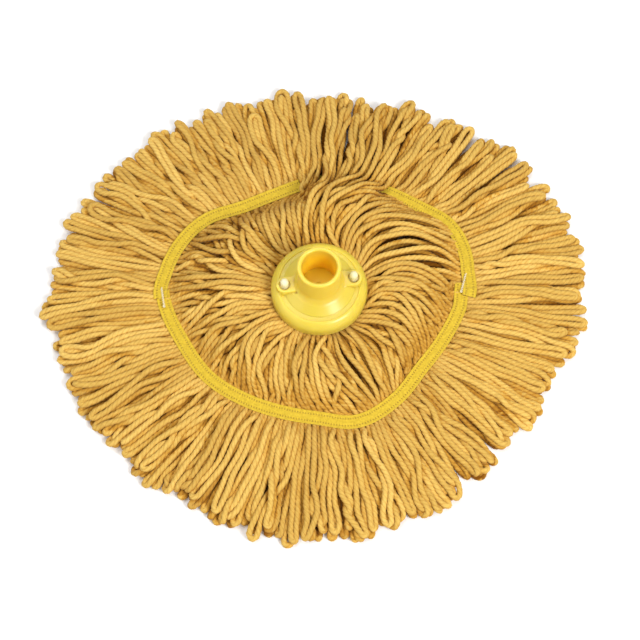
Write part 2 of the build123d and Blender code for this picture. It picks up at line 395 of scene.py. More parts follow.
# What each round does, as shares: push, push upwards, pull home, straighten, and keep the length.
PUSH = 0.42
PUSH_UP = 0.8
HOME_PULL = 0.010
STRAIGHTEN = 0.20
KEEP_LENGTH = 0.45


def near_pairs(points, chain, reach):
    """Index pairs of points nearer than reach, leaving out neighbours along one strand."""
    cell = np.floor((points - points.min(axis=0)) / reach).astype(np.int64) + 1
    size = cell.max(axis=0) + 2
    key = (cell[:, 0] * size[1] + cell[:, 1]) * size[2] + cell[:, 2]
    order = np.argsort(key, kind="stable")
    ranked = key[order]
    first, second = [], []
    for dx, dy, dz in HALF_CELLS:
        other = key + (dx * size[1] + dy) * size[2] + dz
        start = np.searchsorted(ranked, other, side="left")
        end = np.searchsorted(ranked, other, side="right")
        count = end - start
        left = np.repeat(np.arange(len(points)), count)
        offset = np.arange(count.sum()) - np.repeat(np.cumsum(count) - count, count)
        right = order[np.repeat(start, count) + offset]
        if (dx, dy, dz) == (0, 0, 0):
            keep = left < right
            left, right = left[keep], right[keep]
        first.append(left)
        second.append(right)
    left, right = np.concatenate(first), np.concatenate(second)
    close = ((points[left] - points[right]) ** 2).sum(axis=1) < reach**2
    same = (left // chain == right // chain) & (np.abs(left - right) < 4)
    keep = close & ~same
    return left[keep], right[keep]


def tape_level(side, surface, angles):
    """A tape's lower (0) or upper (1) surface height, at angles in degrees."""
    back = np.sin(np.radians(angles)) > 0
    return np.where(back, tape_levels[side, "back"][surface], tape_levels[side, "front"][surface])


def under_the_tape(radius, angles, half):
    """How far points lie aside from the tape, and the height that the tape keeps their centres under."""
    outside = radius - band_radius(angles)
    half_tape = 0.55 * TAPE_WIDTH + 4.5 * MM * bell(angles, 4, 7)
    away = np.maximum(np.maximum(outside - half_tape, lap(angles) - outside - half_tape), 0.0)
    return away, tape_level("top", 0, angles) - half - 0.15 * MM + 1.1 * away


def keep_in_place(points, radius, angles, half, flops):
    """The floor, the skirt and the band's tapes hold the strands up or down; half is half their thickness."""
    under_skirt = radius < skirt_radius + half
    points[under_skirt, 2] = np.minimum(points[under_skirt, 2], (skirt_bottom - half - 0.2 * MM)[under_skirt])
    away, ceiling = under_the_tape(radius, angles, half)
    points[:, 2] = np.where(flops, points[:, 2], np.minimum(points[:, 2], ceiling))
    over = tape_level("top", 1, angles) + half + 0.4 * MM
    points[:, 2] = np.where(flops & (away < 1 * MM), np.maximum(points[:, 2], over), points[:, 2])
    aside = np.abs(radius - band_radius(angles)) > 0.55 * TAPE_WIDTH + 0.6 * MM
    floor = np.where(aside, 0.0, tape_level("under", 1, angles)) + 1.16 * half
    points[:, 2] = np.maximum(points[:, 2], floor)


def place(points):
    """Each point's radius from the socket's axis, and its angle in degrees."""
    return np.hypot(points[:, 0], points[:, 1]), np.degrees(np.arctan2(points[:, 1], points[:, 0]))


def settle(routes, layers):
    """Strands pushed apart, held near their lay, smooth and even, and between floor and band."""
    loops, chain, _ = routes.shape
    points = routes.reshape(-1, 3).copy()
    home = points.copy()
    layers = np.repeat(layers, chain)
    spacing = np.linalg.norm(np.diff(routes, axis=1), axis=2).mean(axis=1)[:, None, None]
    fixed = np.zeros((loops, chain), bool)
    fixed[:, :3] = fixed[:, -3:] = True
    fixed = fixed.reshape(-1)
    radius, angles = place(points)
    flops = points[:, 2] > under_the_tape(radius, angles, STRAND / 2)[1] + 1 * MM
    flops &= periodic(angles, OVERHANG) > 0.15
    for turn in range(ROUNDS):
        if turn % 4 == 0:
            radius, angles = place(points)
            thickness = STRAND * girth(radius, angles, layers)
            left, right = near_pairs(points, chain, STRAND * 1.25)
            apart = LAY_SHARE * (thickness[left] + thickness[right]) / 2
        gap = points[left] - points[right]
        distance = np.sqrt((gap**2).sum(axis=1)) + 1e-9
        overlap = np.maximum(apart - distance, 0.0)
        push = gap * (PUSH * overlap / distance)[:, None]
        push[:, 2] *= PUSH_UP
        for k in range(3):
            points[:, k] += np.bincount(left, push[:, k], len(points))
            points[:, k] -= np.bincount(right, push[:, k], len(points))
        points += HOME_PULL * (home - points)
        strands = points.reshape(loops, chain, 3)
        bend = (strands[:, :-2] + strands[:, 2:]) / 2 - strands[:, 1:-1]
        strands[:, 1:-1] += STRAIGHTEN * bend
        for parity in (0, 1):
            a, b = strands[:, parity:-1:2], strands[:, parity + 1 :: 2]
            line = b - a
            length = np.sqrt((line**2).sum(axis=2, keepdims=True)) + 1e-9
            pull = line * (KEEP_LENGTH * (1 - spacing / length))
            strands[:, parity:-1:2] += pull
            strands[:, parity + 1 :: 2] -= pull
        points = strands.reshape(-1, 3)
        radius, angles = place(points)
        keep_in_place(points, radius, angles, thickness / 2, flops)
        points[fixed] = home[fixed]
    strands = points.reshape(loops, chain, 3).copy()
    for _ in range(2):
        strands[:, 1:-1] = 0.25 * strands[:, :-2] + 0.5 * strands[:, 1:-1] + 0.25 * strands[:, 2:]
    return strands


# ---------------------------------------------------------------- yarn: the twisted strand's mesh


def spline_points(strands, per_span):
    """Catmull-Rom points along each strand, with per_span points for each span."""
    before = 2 * strands[:, :1] - strands[:, 1:2]
    after = 2 * strands[:, -1:] - strands[:, -2:-1]
    ends = np.concatenate([before, strands, after], axis=1)
    p0, p1, p2, p3 = ends[:, :-3], ends[:, 1:-2], ends[:, 2:-1], ends[:, 3:]
    out = []
    for step in range(per_span):
        t = step / per_span
        square, cube = 2 * p0 - 5 * p1 + 4 * p2 - p3, 3 * (p1 - p2) + p3 - p0
        out.append(0.5 * (2 * p1 + (p2 - p0) * t + square * t**2 + cube * t**3))
    fine = np.stack(out, axis=2).reshape(len(strands), -1, 3)
    return np.concatenate([fine, strands[:, -1:]], axis=1)


def carried_frames(points):
    """Tangents and a normal carried along each strand without twisting."""
    tangent = np.gradient(points, axis=1)
    tangent /= np.linalg.norm(tangent, axis=2, keepdims=True) + 1e-12
    normal = np.zeros_like(points)
    start = np.cross(tangent[:, 0], np.array([0.0, 0.0, 1.0]))
    normal[:, 0] = start / (np.linalg.norm(start, axis=1, keepdims=True) + 1e-12)
    for k in range(1, points.shape[1]):
        lean = (normal[:, k - 1] * tangent[:, k]).sum(axis=1, keepdims=True)
        carried = normal[:, k - 1] - lean * tangent[:, k]
        normal[:, k] = carried / (np.linalg.norm(carried, axis=1, keepdims=True) + 1e-12)
    return tangent, normal


PLY_RADIUS = 0.395 * STRAND
PLY_OFFSET = 0.5 * STRAND - PLY_RADIUS
# The fibre texture's length along a strand, as a share of the strand's own.
FIBRE_STRETCH = 0.14


def ply_section(turn):
    """The radius of a three-ply strand at an angle round it: the outline of three circles."""
    third = 2 * math.pi / 3
    away = (turn + third / 2) % third - third / 2
    return PLY_OFFSET * np.cos(away) + np.sqrt(PLY_RADIUS**2 - (PLY_OFFSET * np.sin(away)) ** 2)


def tube_faces(tubes, rings, sides):
    """Quads for closed tubes: the wall between the rings, and a fan of quads over each end."""
    ring = np.arange(sides)
    after = (ring + 1) % sides
    first = np.arange(tubes) * rings * sides
    base = first[:, None, None] + np.arange(rings - 1)[None, :, None] * sides
    wall = np.stack([base + ring, base + after, base + after + sides, base + ring + sides], axis=-1)
    k = np.arange(sides // 2 - 1)
    cap = np.stack([k, sides - 1 - k, sides - 2 - k, k + 1], axis=-1)
    near = first[:, None, None] + cap[None]
    far = first[:, None, None] + (rings - 1) * sides + cap[None, :, ::-1]
    return np.concatenate([wall.reshape(-1, 4), near.reshape(-1, 4), far.reshape(-1, 4)])


def strand_mesh(points, thickness, phase):
    """Twisted strands: vertices, faces, depths (0 in the grooves, 1 on the plies), fibre coordinates."""
    strands, rings, _ = points.shape
    tangent, normal = carried_frames(points)
    binormal = np.cross(tangent, normal)
    step = np.linalg.norm(np.diff(points, axis=1), axis=2)
    along = np.concatenate([np.zeros((strands, 1)), np.cumsum(step, axis=1)], axis=1)
    pitch = TWIST_PITCH * (1 + 0.12 * np.sin(phase))[:, None]
    twist = phase[:, None] - 2 * np.pi * along / pitch
    around = np.arange(SECTION_POINTS) * 2 * np.pi / SECTION_POINTS
    radius = ply_section(around)
    depth = (radius - radius.min()) / (radius.max() - radius.min())
    angle = twist[:, :, None] + around[None, None, :]
    # Each ply is a little thick and thin along its length, out of step with the other two.
    lumps = 1 + 0.07 * np.sin(1100 * along[:, :, None] + 3 * around + 5 * phase[:, None, None])
    lumps += 0.04 * np.sin(2300 * along[:, :, None] - 2 * around + 9 * phase[:, None, None])
    scaled = radius[None, None, :] * thickness[:, :, None] * lumps
    vertices = (
        points[:, :, None, :]
        + normal[:, :, None, :] * (np.cos(angle) * scaled)[..., None]
        + binormal[:, :, None, :] * (np.sin(angle) * scaled)[..., None]
    )
    lengthwise = np.broadcast_to(along[:, :, None] * FIBRE_STRETCH + phase[:, None, None], angle.shape)
    round_one, round_two = (np.broadcast_to(f(around) * STRAND / 2, angle.shape) for f in (np.cos, np.sin))
    fibre = np.stack([round_one, round_two, lengthwise], axis=-1)
    faces = tube_faces(strands, rings, SECTION_POINTS)
    depths = np.broadcast_to(depth, angle.shape).reshape(-1)
    return vertices.reshape(-1, 3), faces, depths, fibre.reshape(-1, 3)


def thread_mesh(points, radius, sides=6):
    """Plain round thread along polylines, given as an array of strands by points by 3."""
    tangent, normal = carried_frames(points)
    binormal = np.cross(tangent, normal)
    around = np.arange(sides) * 2 * np.pi / sides
    vertices = points[:, :, None, :] + radius * (
        normal[:, :, None, :] * np.cos(around)[:, None] + binormal[:, :, None, :] * np.sin(around)[:, None]
    )
    return vertices.reshape(-1, 3), tube_faces(points.shape[0], points.shape[1], sides)


def add_mesh(name, vertices, faces, material, smooth=True, **attributes):
    """A mesh object from arrays of vertices and quads, with attributes on its points."""
    mesh = bpy.data.meshes.new(name)
    mesh.vertices.add(len(vertices))
    mesh.vertices.foreach_set("co", np.asarray(vertices, np.float32).ravel())
    faces = np.asarray(faces, np.int32)
    corners = faces.shape[1]
    mesh.loops.add(faces.size)
    mesh.loops.foreach_set("vertex_index", faces.ravel())
    mesh.polygons.add(len(faces))
    mesh.polygons.foreach_set("loop_start", np.arange(0, faces.size, corners, dtype=np.int32))
    mesh.polygons.foreach_set("use_smooth", np.full(len(faces), smooth))
    for key, values in attributes.items():
        values = np.asarray(values, np.float32)
        flat = values.ndim == 1
        layer = mesh.attributes.new(key, "FLOAT" if flat else "FLOAT_VECTOR", "POINT")
        layer.data.foreach_set("value" if flat else "vector", values.ravel())
    mesh.update(calc_edges=True)
    mesh.validate()
    obj = bpy.data.objects.new(name, mesh)
    bpy.context.scene.collection.objects.link(obj)
    mesh.materials.append(material)
    return obj


# ---------------------------------------------------------------- materials


class Nodes:
    """A short way to write a node tree."""

    def __init__(self, name):
        self.material = bpy.data.materials.new(name)
        self.material.use_nodes = True
        self.tree = self.material.node_tree
        self.shader = self.tree.nodes["Principled BSDF"]

    def add(self, kind, **settings):
        """A node, with its properties and unlinked inputs set."""
        node = self.tree.nodes.new(kind)
        for key, value in settings.items():
            if hasattr(node, key):
                setattr(node, key, value)
            else:
                node.inputs[key.replace("_", " ")].default_value = value
        return node

    def link(self, source, target):
        self.tree.links.new(source, target)

    def attribute(self, name, output="Fac"):
        return self.add("ShaderNodeAttribute", attribute_name=name).outputs[output]

    def shade(self, **values):
        """Set the shader's own sockets."""
        for key, value in values.items():
            self.shader.inputs[key.replace("_", " ")].default_value = value


def ramp(nodes, source, stops):
    """A colour ramp fed by a socket; stops are (position, colour)."""
    node = nodes.add("ShaderNodeValToRGB")
    band = node.color_ramp
    while len(band.elements) < len(stops):
        band.elements.new(0.5)
    for element, (position, colour) in zip(band.elements, stops):
        element.position = position
        element.color = (*colour, 1.0)
    nodes.link(source, node.inputs["Fac"])
    return node.outputs["Color"]


def multiply(nodes, first, *others):
    """The product of several colours."""
    for other in others:
        node = nodes.add("ShaderNodeMix", data_type="RGBA", blend_type="MULTIPLY")
        node.inputs["Factor"].default_value = 1.0
        nodes.link(first, node.inputs[6])
        nodes.link(other, node.inputs[7])
        first = node.outputs[2]
    return first


def noise(nodes, scale, detail=3.0, roughness=0.6, attribute=None):
    """Noise over the object's own coordinates, or over a vector attribute."""
    node = nodes.add("ShaderNodeTexNoise", Scale=scale, Detail=detail, Roughness=roughness)
    if attribute:
        source = nodes.attribute(attribute, "Vector")
    else:
        source = nodes.add("ShaderNodeTexCoord").outputs["Object"]
    nodes.link(source, node.inputs["Vector"])
    return node.outputs["Fac"]


def bump(nodes, height, strength, distance):
    node = nodes.add("ShaderNodeBump", Strength=strength, Distance=distance)
    nodes.link(height, node.inputs["Height"])
    nodes.link(node.outputs["Normal"], nodes.shader.inputs["Normal"])


WHITE = (1.0, 1.0, 1.0)


def yarn_material():
    """Golden ochre cotton-blend yarn, with uneven dye and fibres; painted shade makes it warmer and darker
    between the plies, and darker and browner deep between the strands.
    """
    m = Nodes("yarn")
    dyes = [(0.0, (0.60, 0.37, 0.082)), (0.5, (0.715, 0.47, 0.112)), (1.0, (0.82, 0.565, 0.155))]
    dye = ramp(m, m.attribute("tone"), dyes)
    # Painted shade: the grooves between the plies are painted warmer and darker.
    painted_ply_groove_shade = ramp(m, m.attribute("ply"), [(0.0, (0.86, 0.79, 0.68)), (0.6, WHITE)])
    # Painted shade: deep between the strands, by the shade attribute, the yarn is painted darker and browner.
    depths = [(0.2, WHITE), (0.5, (0.86, 0.71, 0.42)), (0.9, (0.40, 0.23, 0.04))]
    deep = ramp(m, m.attribute("shade"), depths)
    patch = ramp(m, noise(m, 320.0, 2.0), [(0.3, (0.86, 0.82, 0.76)), (0.7, WHITE)])
    fibres = noise(m, 2600.0, attribute="fibre")
    streak = ramp(m, fibres, [(0.3, (0.84, 0.78, 0.68)), (0.62, WHITE)])
    m.link(multiply(m, dye, painted_ply_groove_shade, patch, streak, deep), m.shader.inputs["Base Color"])
    m.shade(Roughness=0.95, Sheen_Weight=0.18, Sheen_Roughness=0.5, Sheen_Tint=(1.0, 0.80, 0.42, 1.0))
    m.shade(Specular_IOR_Level=0.12)
    bump(m, fibres, 0.55, 0.3 * MM)
    return m.material


def tape_material():
    """Woven yellow tape: fine ribs across and along, with painted shade darkening its needle holes."""
    m = Nodes("band_tape")

    def ribs(source, pitch):
        scaled = m.add("ShaderNodeMath", operation="MULTIPLY")
        scaled.inputs[1].default_value = 2 * math.pi / pitch
        m.link(source, scaled.inputs[0])
        wave = m.add("ShaderNodeMath", operation="SINE")
        m.link(scaled.outputs[0], wave.inputs[0])
        return wave.outputs[0]

    product = m.add("ShaderNodeMath", operation="MULTIPLY")
    m.link(ribs(m.attribute("along"), 1.3 * MM), product.inputs[0])
    m.link(ribs(m.attribute("across"), 1.1 * MM), product.inputs[1])
    weave = m.add("ShaderNodeMapRange", From_Min=-1.0)
    m.link(product.outputs[0], weave.inputs["Value"])
    dyes = [(0.0, (0.50, 0.32, 0.012)), (0.5, (0.69, 0.48, 0.022)), (1.0, (0.78, 0.58, 0.05))]
    dye = ramp(m, weave.outputs["Result"], dyes)
    patch = ramp(m, noise(m, 520.0), [(0.35, (0.80, 0.77, 0.62)), (0.62, WHITE)])
    # Painted shade: the needle holes of the seams are painted dark.
    holes = ramp(m, m.attribute("pierced"), [(0.05, WHITE), (0.6, (0.42, 0.30, 0.10))])
    m.link(multiply(m, dye, patch, holes), m.shader.inputs["Base Color"])
    m.shade(Roughness=0.75, Sheen_Weight=0.2, Specular_IOR_Level=0.3)
    bump(m, weave.outputs["Result"], 0.6, 0.3 * MM)
    return m.material


def thread_material(name, light, dark):
    """Sewing thread, with a fine twist."""
    m = Nodes(name)
    shade = ramp(m, noise(m, 1500.0, 2.0), [(0.3, dark), (0.7, light)])
    m.link(shade, m.shader.inputs["Base Color"])
    m.shade(Roughness=0.6, Sheen_Weight=0.2)
    bump(m, noise(m, 3000.0), 0.3, 0.2 * MM)
    return m.material


def paint_bore_bounce_light(m, shade):
    """Painted bounce light: inside the handle bore, near its wall and below its mouth, the plastic is painted
    a deeper, warmer orange than the thin skirt.
    """
    mouth = socket_high[2]
    place = m.add("ShaderNodeTexCoord").outputs["Object"]
    flat = m.add("ShaderNodeVectorMath", operation="MULTIPLY")
    flat.inputs[1].default_value = (1.0, 1.0, 0.0)
    m.link(place, flat.inputs[0])
    reach = m.add("ShaderNodeVectorMath", operation="LENGTH")
    m.link(flat.outputs[0], reach.inputs[0])
    level = m.add("ShaderNodeSeparateXYZ")
    m.link(place, level.inputs[0])
    inner, outer = BORE_RADIUS + 0.4 * MM, BORE_RADIUS + 1.4 * MM
    near = m.add("ShaderNodeMapRange", From_Min=inner, From_Max=outer, To_Min=1.0, To_Max=0.0)
    m.link(reach.outputs["Value"], near.inputs["Value"])
    below = m.add("ShaderNodeMapRange", From_Min=mouth - 1 * MM, From_Max=mouth - 14 * MM)
    m.link(level.outputs["Z"], below.inputs["Value"])
    share = m.add("ShaderNodeMath", operation="MULTIPLY")
    m.link(near.outputs[0], share.inputs[0])
    m.link(below.outputs[0], share.inputs[1])
    mix = m.add("ShaderNodeMix", data_type="RGBA")
    m.link(share.outputs[0], mix.inputs["Factor"])
    m.link(shade, mix.inputs[6])
    mix.inputs[7].default_value = (*BORE_BOUNCE_LIGHT_COLOUR, 1.0)
    return mix.outputs[2]


def plastic_material(name, colours, roughness, subsurface, radius, bore_bounce_light=False):
    """Moulded plastic with a soft gloss, a little flow variation and light handling marks."""
    m = Nodes(name)
    shade = ramp(m, noise(m, 35.0, 4.0), list(zip((0.35, 0.65), colours)))
    # Painted bounce light inside the handle bore.
    if bore_bounce_light:
        shade = paint_bore_bounce_light(m, shade)
    m.link(shade, m.shader.inputs["Base Color"])
    grain = m.add("ShaderNodeMapRange", To_Min=roughness - 0.05, To_Max=roughness + 0.07)
    m.link(noise(m, 420.0, 6.0), grain.inputs["Value"])
    m.link(grain.outputs["Result"], m.shader.inputs["Roughness"])
    m.shade(IOR=1.49, Subsurface_Weight=subsurface, Subsurface_Radius=radius, Subsurface_Scale=8 * MM)
    bump(m, noise(m, 1400.0), 0.06, 0.2 * MM)
    return m.material


def dress(node, material):
    """Give a CAD node that stays its finished material."""
    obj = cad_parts[node]
    obj.data.materials.clear()
    obj.data.materials.append(material)


BORE_RADIUS = 12.8 * MM
BORE_DEPTH = 31 * MM
# Painted bounce light: the warm orange painted inside the handle bore.
BORE_BOUNCE_LIGHT_COLOUR = (0.98, 0.65, 0.025)
YARN = yarn_material()
TAPE = tape_material()
WHITE_THREAD = thread_material("tack_thread", (0.86, 0.80, 0.60), (0.66, 0.58, 0.38))
YELLOW_THREAD = thread_material("seam_thread", (0.80, 0.62, 0.03), (0.60, 0.42, 0.02))
SOCKET_COLOURS = ((0.73, 0.545, 0.06), (0.76, 0.575, 0.075))
PIN_COLOURS = ((0.79, 0.73, 0.42), (0.84, 0.79, 0.52))
PLATE_COLOURS = ((0.80, 0.78, 0.70), (0.85, 0.83, 0.76))
SOCKET = plastic_material("socket_plastic", SOCKET_COLOURS, 0.30, 0.6, (1.0, 0.8, 0.2), bore_bounce_light=True)
PIN = plastic_material("pin_plastic", PIN_COLOURS, 0.28, 0.4, (1.0, 0.9, 0.6))
PLATE = plastic_material("clamp_plastic", PLATE_COLOURS, 0.45, 0.15, (1.0, 0.9, 0.8))

dress("socket", SOCKET)
dress("clamp_pins", PIN)
dress("clamp_plate", PLATE)

# ---------------------------------------------------------------- making the yarn

routes = np.stack([loop_route(i) for i in range(LOOPS)])
strands = settle(routes, loop_layer)
spacing = np.linalg.norm(np.diff(strands, axis=1), axis=2).mean()
fine = spline_points(strands, max(2, round(spacing / RING_SPACING)))
rings = fine.shape[1]

loop_tone = np.clip(0.5 + 0.22 * rng.normal(size=LOOPS), 0, 1)
loop_phase = rng.uniform(0, 2 * np.pi, LOOPS)
fine_radius, fine_angles = place(fine.reshape(-1, 3))
thickness = girth(fine_radius, fine_angles, np.repeat(loop_layer, rings)).reshape(LOOPS, rings)
thickness *= 1 + 0.04 * np.sin(np.linspace(0, 47, rings)[None, :] + rng.uniform(0, 6, (LOOPS, 1)))
fine[..., 2] = np.maximum(fine[..., 2], 0.52 * STRAND * np.maximum(thickness, 1))


def finish_piece(piece, slot, *nodes):
    """A piece that rides on the mop's one body and stands for CAD nodes, which it hides; the slot is not
    used.
    """
    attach(piece, "root")
    if nodes:
        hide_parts(*nodes)
    return piece


# A square grid over the floor plan, and how deep between the strands their painted shade is full.
CELL = 3 * MM
GRID_HALF = 240 * MM
GRID_CELLS = int(2 * GRID_HALF / CELL)
DEEPEST = 10 * MM


def cells(points):
    """The grid cells that points stand in."""
    return np.clip(((points[:, :2] + GRID_HALF) / CELL).astype(int), 0, GRID_CELLS - 1)


def highest_round(points):
    """A grid of how high the points stand round each place on the floor plan."""
    grid = np.full((GRID_CELLS, GRID_CELLS), -1.0)
    at = cells(points)
    np.maximum.at(grid, (at[:, 0], at[:, 1]), points[:, 2])
    wide = np.pad(grid, 1, mode="edge")
    moved = [wide[i : i + GRID_CELLS, j : j + GRID_CELLS] for i in range(3) for j in range(3)]
    return np.max(moved, axis=0)


centres = fine.reshape(-1, 3)
yarn_top = highest_round(centres) + STRAND / 2
yarn_bottom = -highest_round(centres * (1, 1, -1)) - STRAND / 2


def shade_of(vertices, middles):
    """How deep vertices lie between the strands, for the painted shade: 0 on the yarn's top or underside, 1
    far inside it.
    """
    at = cells(vertices)
    height = vertices[:, 2]
    from_top = yarn_top[at[:, 0], at[:, 1]] - height
    from_bottom = height - yarn_bottom[at[:, 0], at[:, 1]]
    upward = np.clip(0.75 + (height - middles) / STRAND, 0, 1)
    return np.clip((upward * from_top + (1 - upward) * from_bottom) / DEEPEST, 0, 1)


tufts = {"back": [], "front": []}
for tuft in range(2 * TUFTS_PER_FAN):
    mine = loop_tuft == tuft
    vertices, faces, depth, fibre = strand_mesh(fine[mine], thickness[mine], loop_phase[mine])
    tone = np.repeat(loop_tone[mine], rings * SECTION_POINTS)
    fan = "back" if tuft < TUFTS_PER_FAN else "front"
    number = tuft % TUFTS_PER_FAN + 1
    # The shade attribute carries the painted shade: darker deep between the strands.
    middles = np.repeat(fine[mine][..., 2].ravel(), SECTION_POINTS)
    looks = {"ply": depth, "tone": tone, "fibre": fibre, "shade": shade_of(vertices, middles)}
    piece = add_mesh(f"loops_{fan}_{number:02d}", vertices, faces, YARN, **looks)
    tufts[fan].append(finish_piece(piece, "yarn", f"yarn_{fan}_{number:02d}"))

# ---------------------------------------------------------------- the waist of the hank


WAIST_STRAND = 2.5 * MM
PIN_HEAD_RADIUS = 3.1 * MM
PIN_RADIUS = 2.5 * MM
LAYER_TURN = math.radians(37.0)


def waist_chords():
    """Layers of squeezed strands straight across the bell, each layer turned, and bent round the pins."""
    middle = (pin_low + pin_high) / 2
    reach = (pin_high - middle)[:2] - PIN_HEAD_RADIUS
    pins = [middle[:2] + reach, middle[:2] - reach]
    lowest, highest = waist_low[2] + WAIST_STRAND / 2, waist_high[2] - WAIST_STRAND / 2
    layers = int((highest - lowest) / WAIST_STRAND) + 1
    limit = waist_radius - 1.5 * MM
    chords = []
    for layer in range(layers):
        turn = LAYER_TURN * layer
        ahead = np.array([math.cos(turn), math.sin(turn)])
        aside = np.array([-ahead[1], ahead[0]])
        height = lowest + (highest - lowest) * layer / (layers - 1)
        for offset in np.arange(-limit + WAIST_STRAND, limit - WAIST_STRAND / 2, WAIST_STRAND):
            half = math.sqrt(limit**2 - offset**2)
            line = np.linspace(-half, half, 25)[:, None] * ahead + offset * aside
            for pin in pins:
                gap = line - pin
                distance = np.hypot(gap[:, 0], gap[:, 1])[:, None] + 1e-9
                room = PIN_RADIUS + WAIST_STRAND / 2
                line = line + gap / distance * np.maximum(room - distance, 0)
            chords.append(np.column_stack([line, np.full(len(line), height)]))
    return np.stack(chords)


chords = waist_chords()
chord_phase = rng.uniform(0, 2 * np.pi, len(chords))
squeezed = np.full(chords.shape[:2], WAIST_STRAND / STRAND)
vertices, faces, depth, fibre = strand_mesh(chords, squeezed, chord_phase)
tone = np.repeat(rng.uniform(0.3, 0.7, len(chords)), chords.shape[1] * SECTION_POINTS)
# Painted shade: the waist strands are all painted as part way deep in the yarn, a little darker and browner.
looks = {"ply": depth, "tone": tone, "fibre": fibre, "shade": np.full(len(vertices), 0.4)}
waist = add_mesh("waist_strands", vertices, faces, YARN, **looks)
finish_piece(waist, "yarn", "yarn_waist")

# ---------------------------------------------------------------- the band: woven tape, stitches and tacks

TAPE_THICKNESS = 0.7 * MM
TAPE_STEP = 0.45 * MM
TAPE_COLUMNS = 25
STITCH_PITCH = 2.0 * MM
STITCH_INSET = 2.5 * MM
FOLD = 7.5 * MM


def tape_line(start, stop, flares, step):
    """The band's centreline from one angle to another, evenly stepped, its ends moved outwards."""
    angles = np.linspace(start, stop, 600)
    radius = band_radius(angles)
    for end, flare in zip((start, stop), flares):
        radius = radius + flare * MM * (1 - smooth_step(np.abs(angles - end) / 12))
    t = np.radians(angles)
    line = np.stack([radius * np.cos(t), radius * np.sin(t), np.zeros_like(t)], axis=1)
    length = np.linalg.norm(np.diff(line, axis=0), axis=1).sum()
    line = even(line, int(length / step) + 1)
    tangent = np.gradient(line, axis=0)
    tangent /= np.linalg.norm(tangent, axis=1, keepdims=True)
    outward = np.stack([tangent[:, 1], -tangent[:, 0], np.zeros(len(line))], axis=1)
    return line, outward, length


def pierced(along, across):
    """1 at each needle hole of the two seams, and 0 away from them."""
    aside = (TAPE_WIDTH / 2 - np.abs(across) - STITCH_INSET) / (0.5 * MM)
    ahead = ((along / STITCH_PITCH + 0.5) % 1.0 - 0.5) * STITCH_PITCH / (0.45 * MM)
    return np.exp(-(ahead**2) - aside**2)


def tape_height(along, across, length, seed, level, top):
    """The tape's outer surface: rolled edges, sunk seams and needle holes, folds, and strands under it."""
    edge = TAPE_WIDTH / 2 - np.abs(across)
    rolled = 0.28 * np.exp(-((edge / (0.7 * MM)) ** 2))
    seam = np.exp(-(((edge - STITCH_INSET) / (0.7 * MM)) ** 2))
    hole = pierced(along, across)
    source = np.random.default_rng(seed)
    lumps = sum(
        np.sin(along * source.uniform(500, 1500) + across * source.uniform(-300, 300) + source.uniform(0, 6))
        for _ in range(5)
    )
    to_end = np.minimum(along, length - along)
    fold = 0.55 * smooth_step((FOLD - to_end) / (0.9 * MM)) + 0.1
    relief = 0.45 * (1 - rolled) if top < 0 else fold - 0.1 * (1 - rolled)
    return level + (relief + top * (rolled - 0.16 * seam - 0.34 * hole + 0.05 * lumps)) * MM


def tape(name, start, stop, side, fan, flares, seed):
    """One half of the band on one side of the yarn: a closed woven strip, and its seams."""
    line, outward, length = tape_line(start, stop, flares, TAPE_STEP)
    along = np.linspace(0, length, len(line))[:, None]
    across = np.linspace(-TAPE_WIDTH / 2, TAPE_WIDTH / 2, TAPE_COLUMNS)[None, :]
    top = 1.0 if side == "top" else -1.0
    level = sum(tape_levels[side, fan]) / 2 + top * TAPE_THICKNESS / 2
    outer = tape_height(along, across, length, seed, level, top)
    inner = np.full_like(outer, level - top * TAPE_THICKNESS)
    flat = line[:, None, :] + outward[:, None, :] * across[..., None]
    sheets = [np.concatenate([flat[..., :2], height[..., None]], axis=2) for height in (outer, inner)]
    # Each row of points runs over the outer side and back along the inner one, so a row closes a ring.
    rows = np.concatenate([sheets[0], sheets[1][:, ::-1]], axis=1)
    sides = rows.shape[1]
    faces = tube_faces(1, len(line), sides)
    if top < 0:
        faces = faces[:, ::-1]
    strip_along = np.broadcast_to(along, rows.shape[:2]).ravel()
    both_sides = np.concatenate([across, across[:, ::-1]], axis=1)
    strip_across = np.broadcast_to(both_sides, rows.shape[:2]).ravel()
    looks = {"along": strip_along, "across": strip_across, "pierced": pierced(strip_along, strip_across)}
    piece = add_mesh(name, rows.reshape(-1, 3), faces, TAPE, **looks)
    finish_piece(piece, "band_tape", f"band_{side}_{fan}")
    thread = stitches(f"{name}_stitches", line, outward, length, seed, level, top)


def stitches(name, line, outward, length, seed, level, top):
    """Two rows of lock stitches, each stitch a short arch of thread from hole to hole."""
    at = np.linspace(0, length, len(line))
    arch = np.linspace(-1, 1, 6)
    chains = []
    for row in (-1, 1):
        across = row * (TAPE_WIDTH / 2 - STITCH_INSET)
        for k in range(1, int(length / STITCH_PITCH) - 1):
            along = (k + 0.5 + 0.37 * arch) * STITCH_PITCH
            middle = np.stack([np.interp(along, at, line[:, i]) for i in range(3)], axis=1)
            aside = np.stack([np.interp(along, at, outward[:, i]) for i in range(3)], axis=1)
            points = middle + aside * across
            surface = tape_height(along, np.full_like(along, across), length, seed, level, top)
            points[:, 2] = surface + top * (0.10 - 0.16 * arch**4) * MM
            chains.append(points)
    vertices, faces = thread_mesh(np.stack(chains), 0.20 * MM)
    return finish_piece(add_mesh(name, vertices, faces, YELLOW_THREAD), "band_tape")


tape("tape_under_front", 178, 361, "under", "front", (0, 0), 4)
tape("tape_under_back", -2, 181, "under", "back", (0, 0), 5)
tape("tape_top_front", 366.5, 177, "top", "front", (-3.8, 1), 6)
tape("tape_top_back", 0.5, 180.3, "top", "back", (4.0, 3.0), 7)


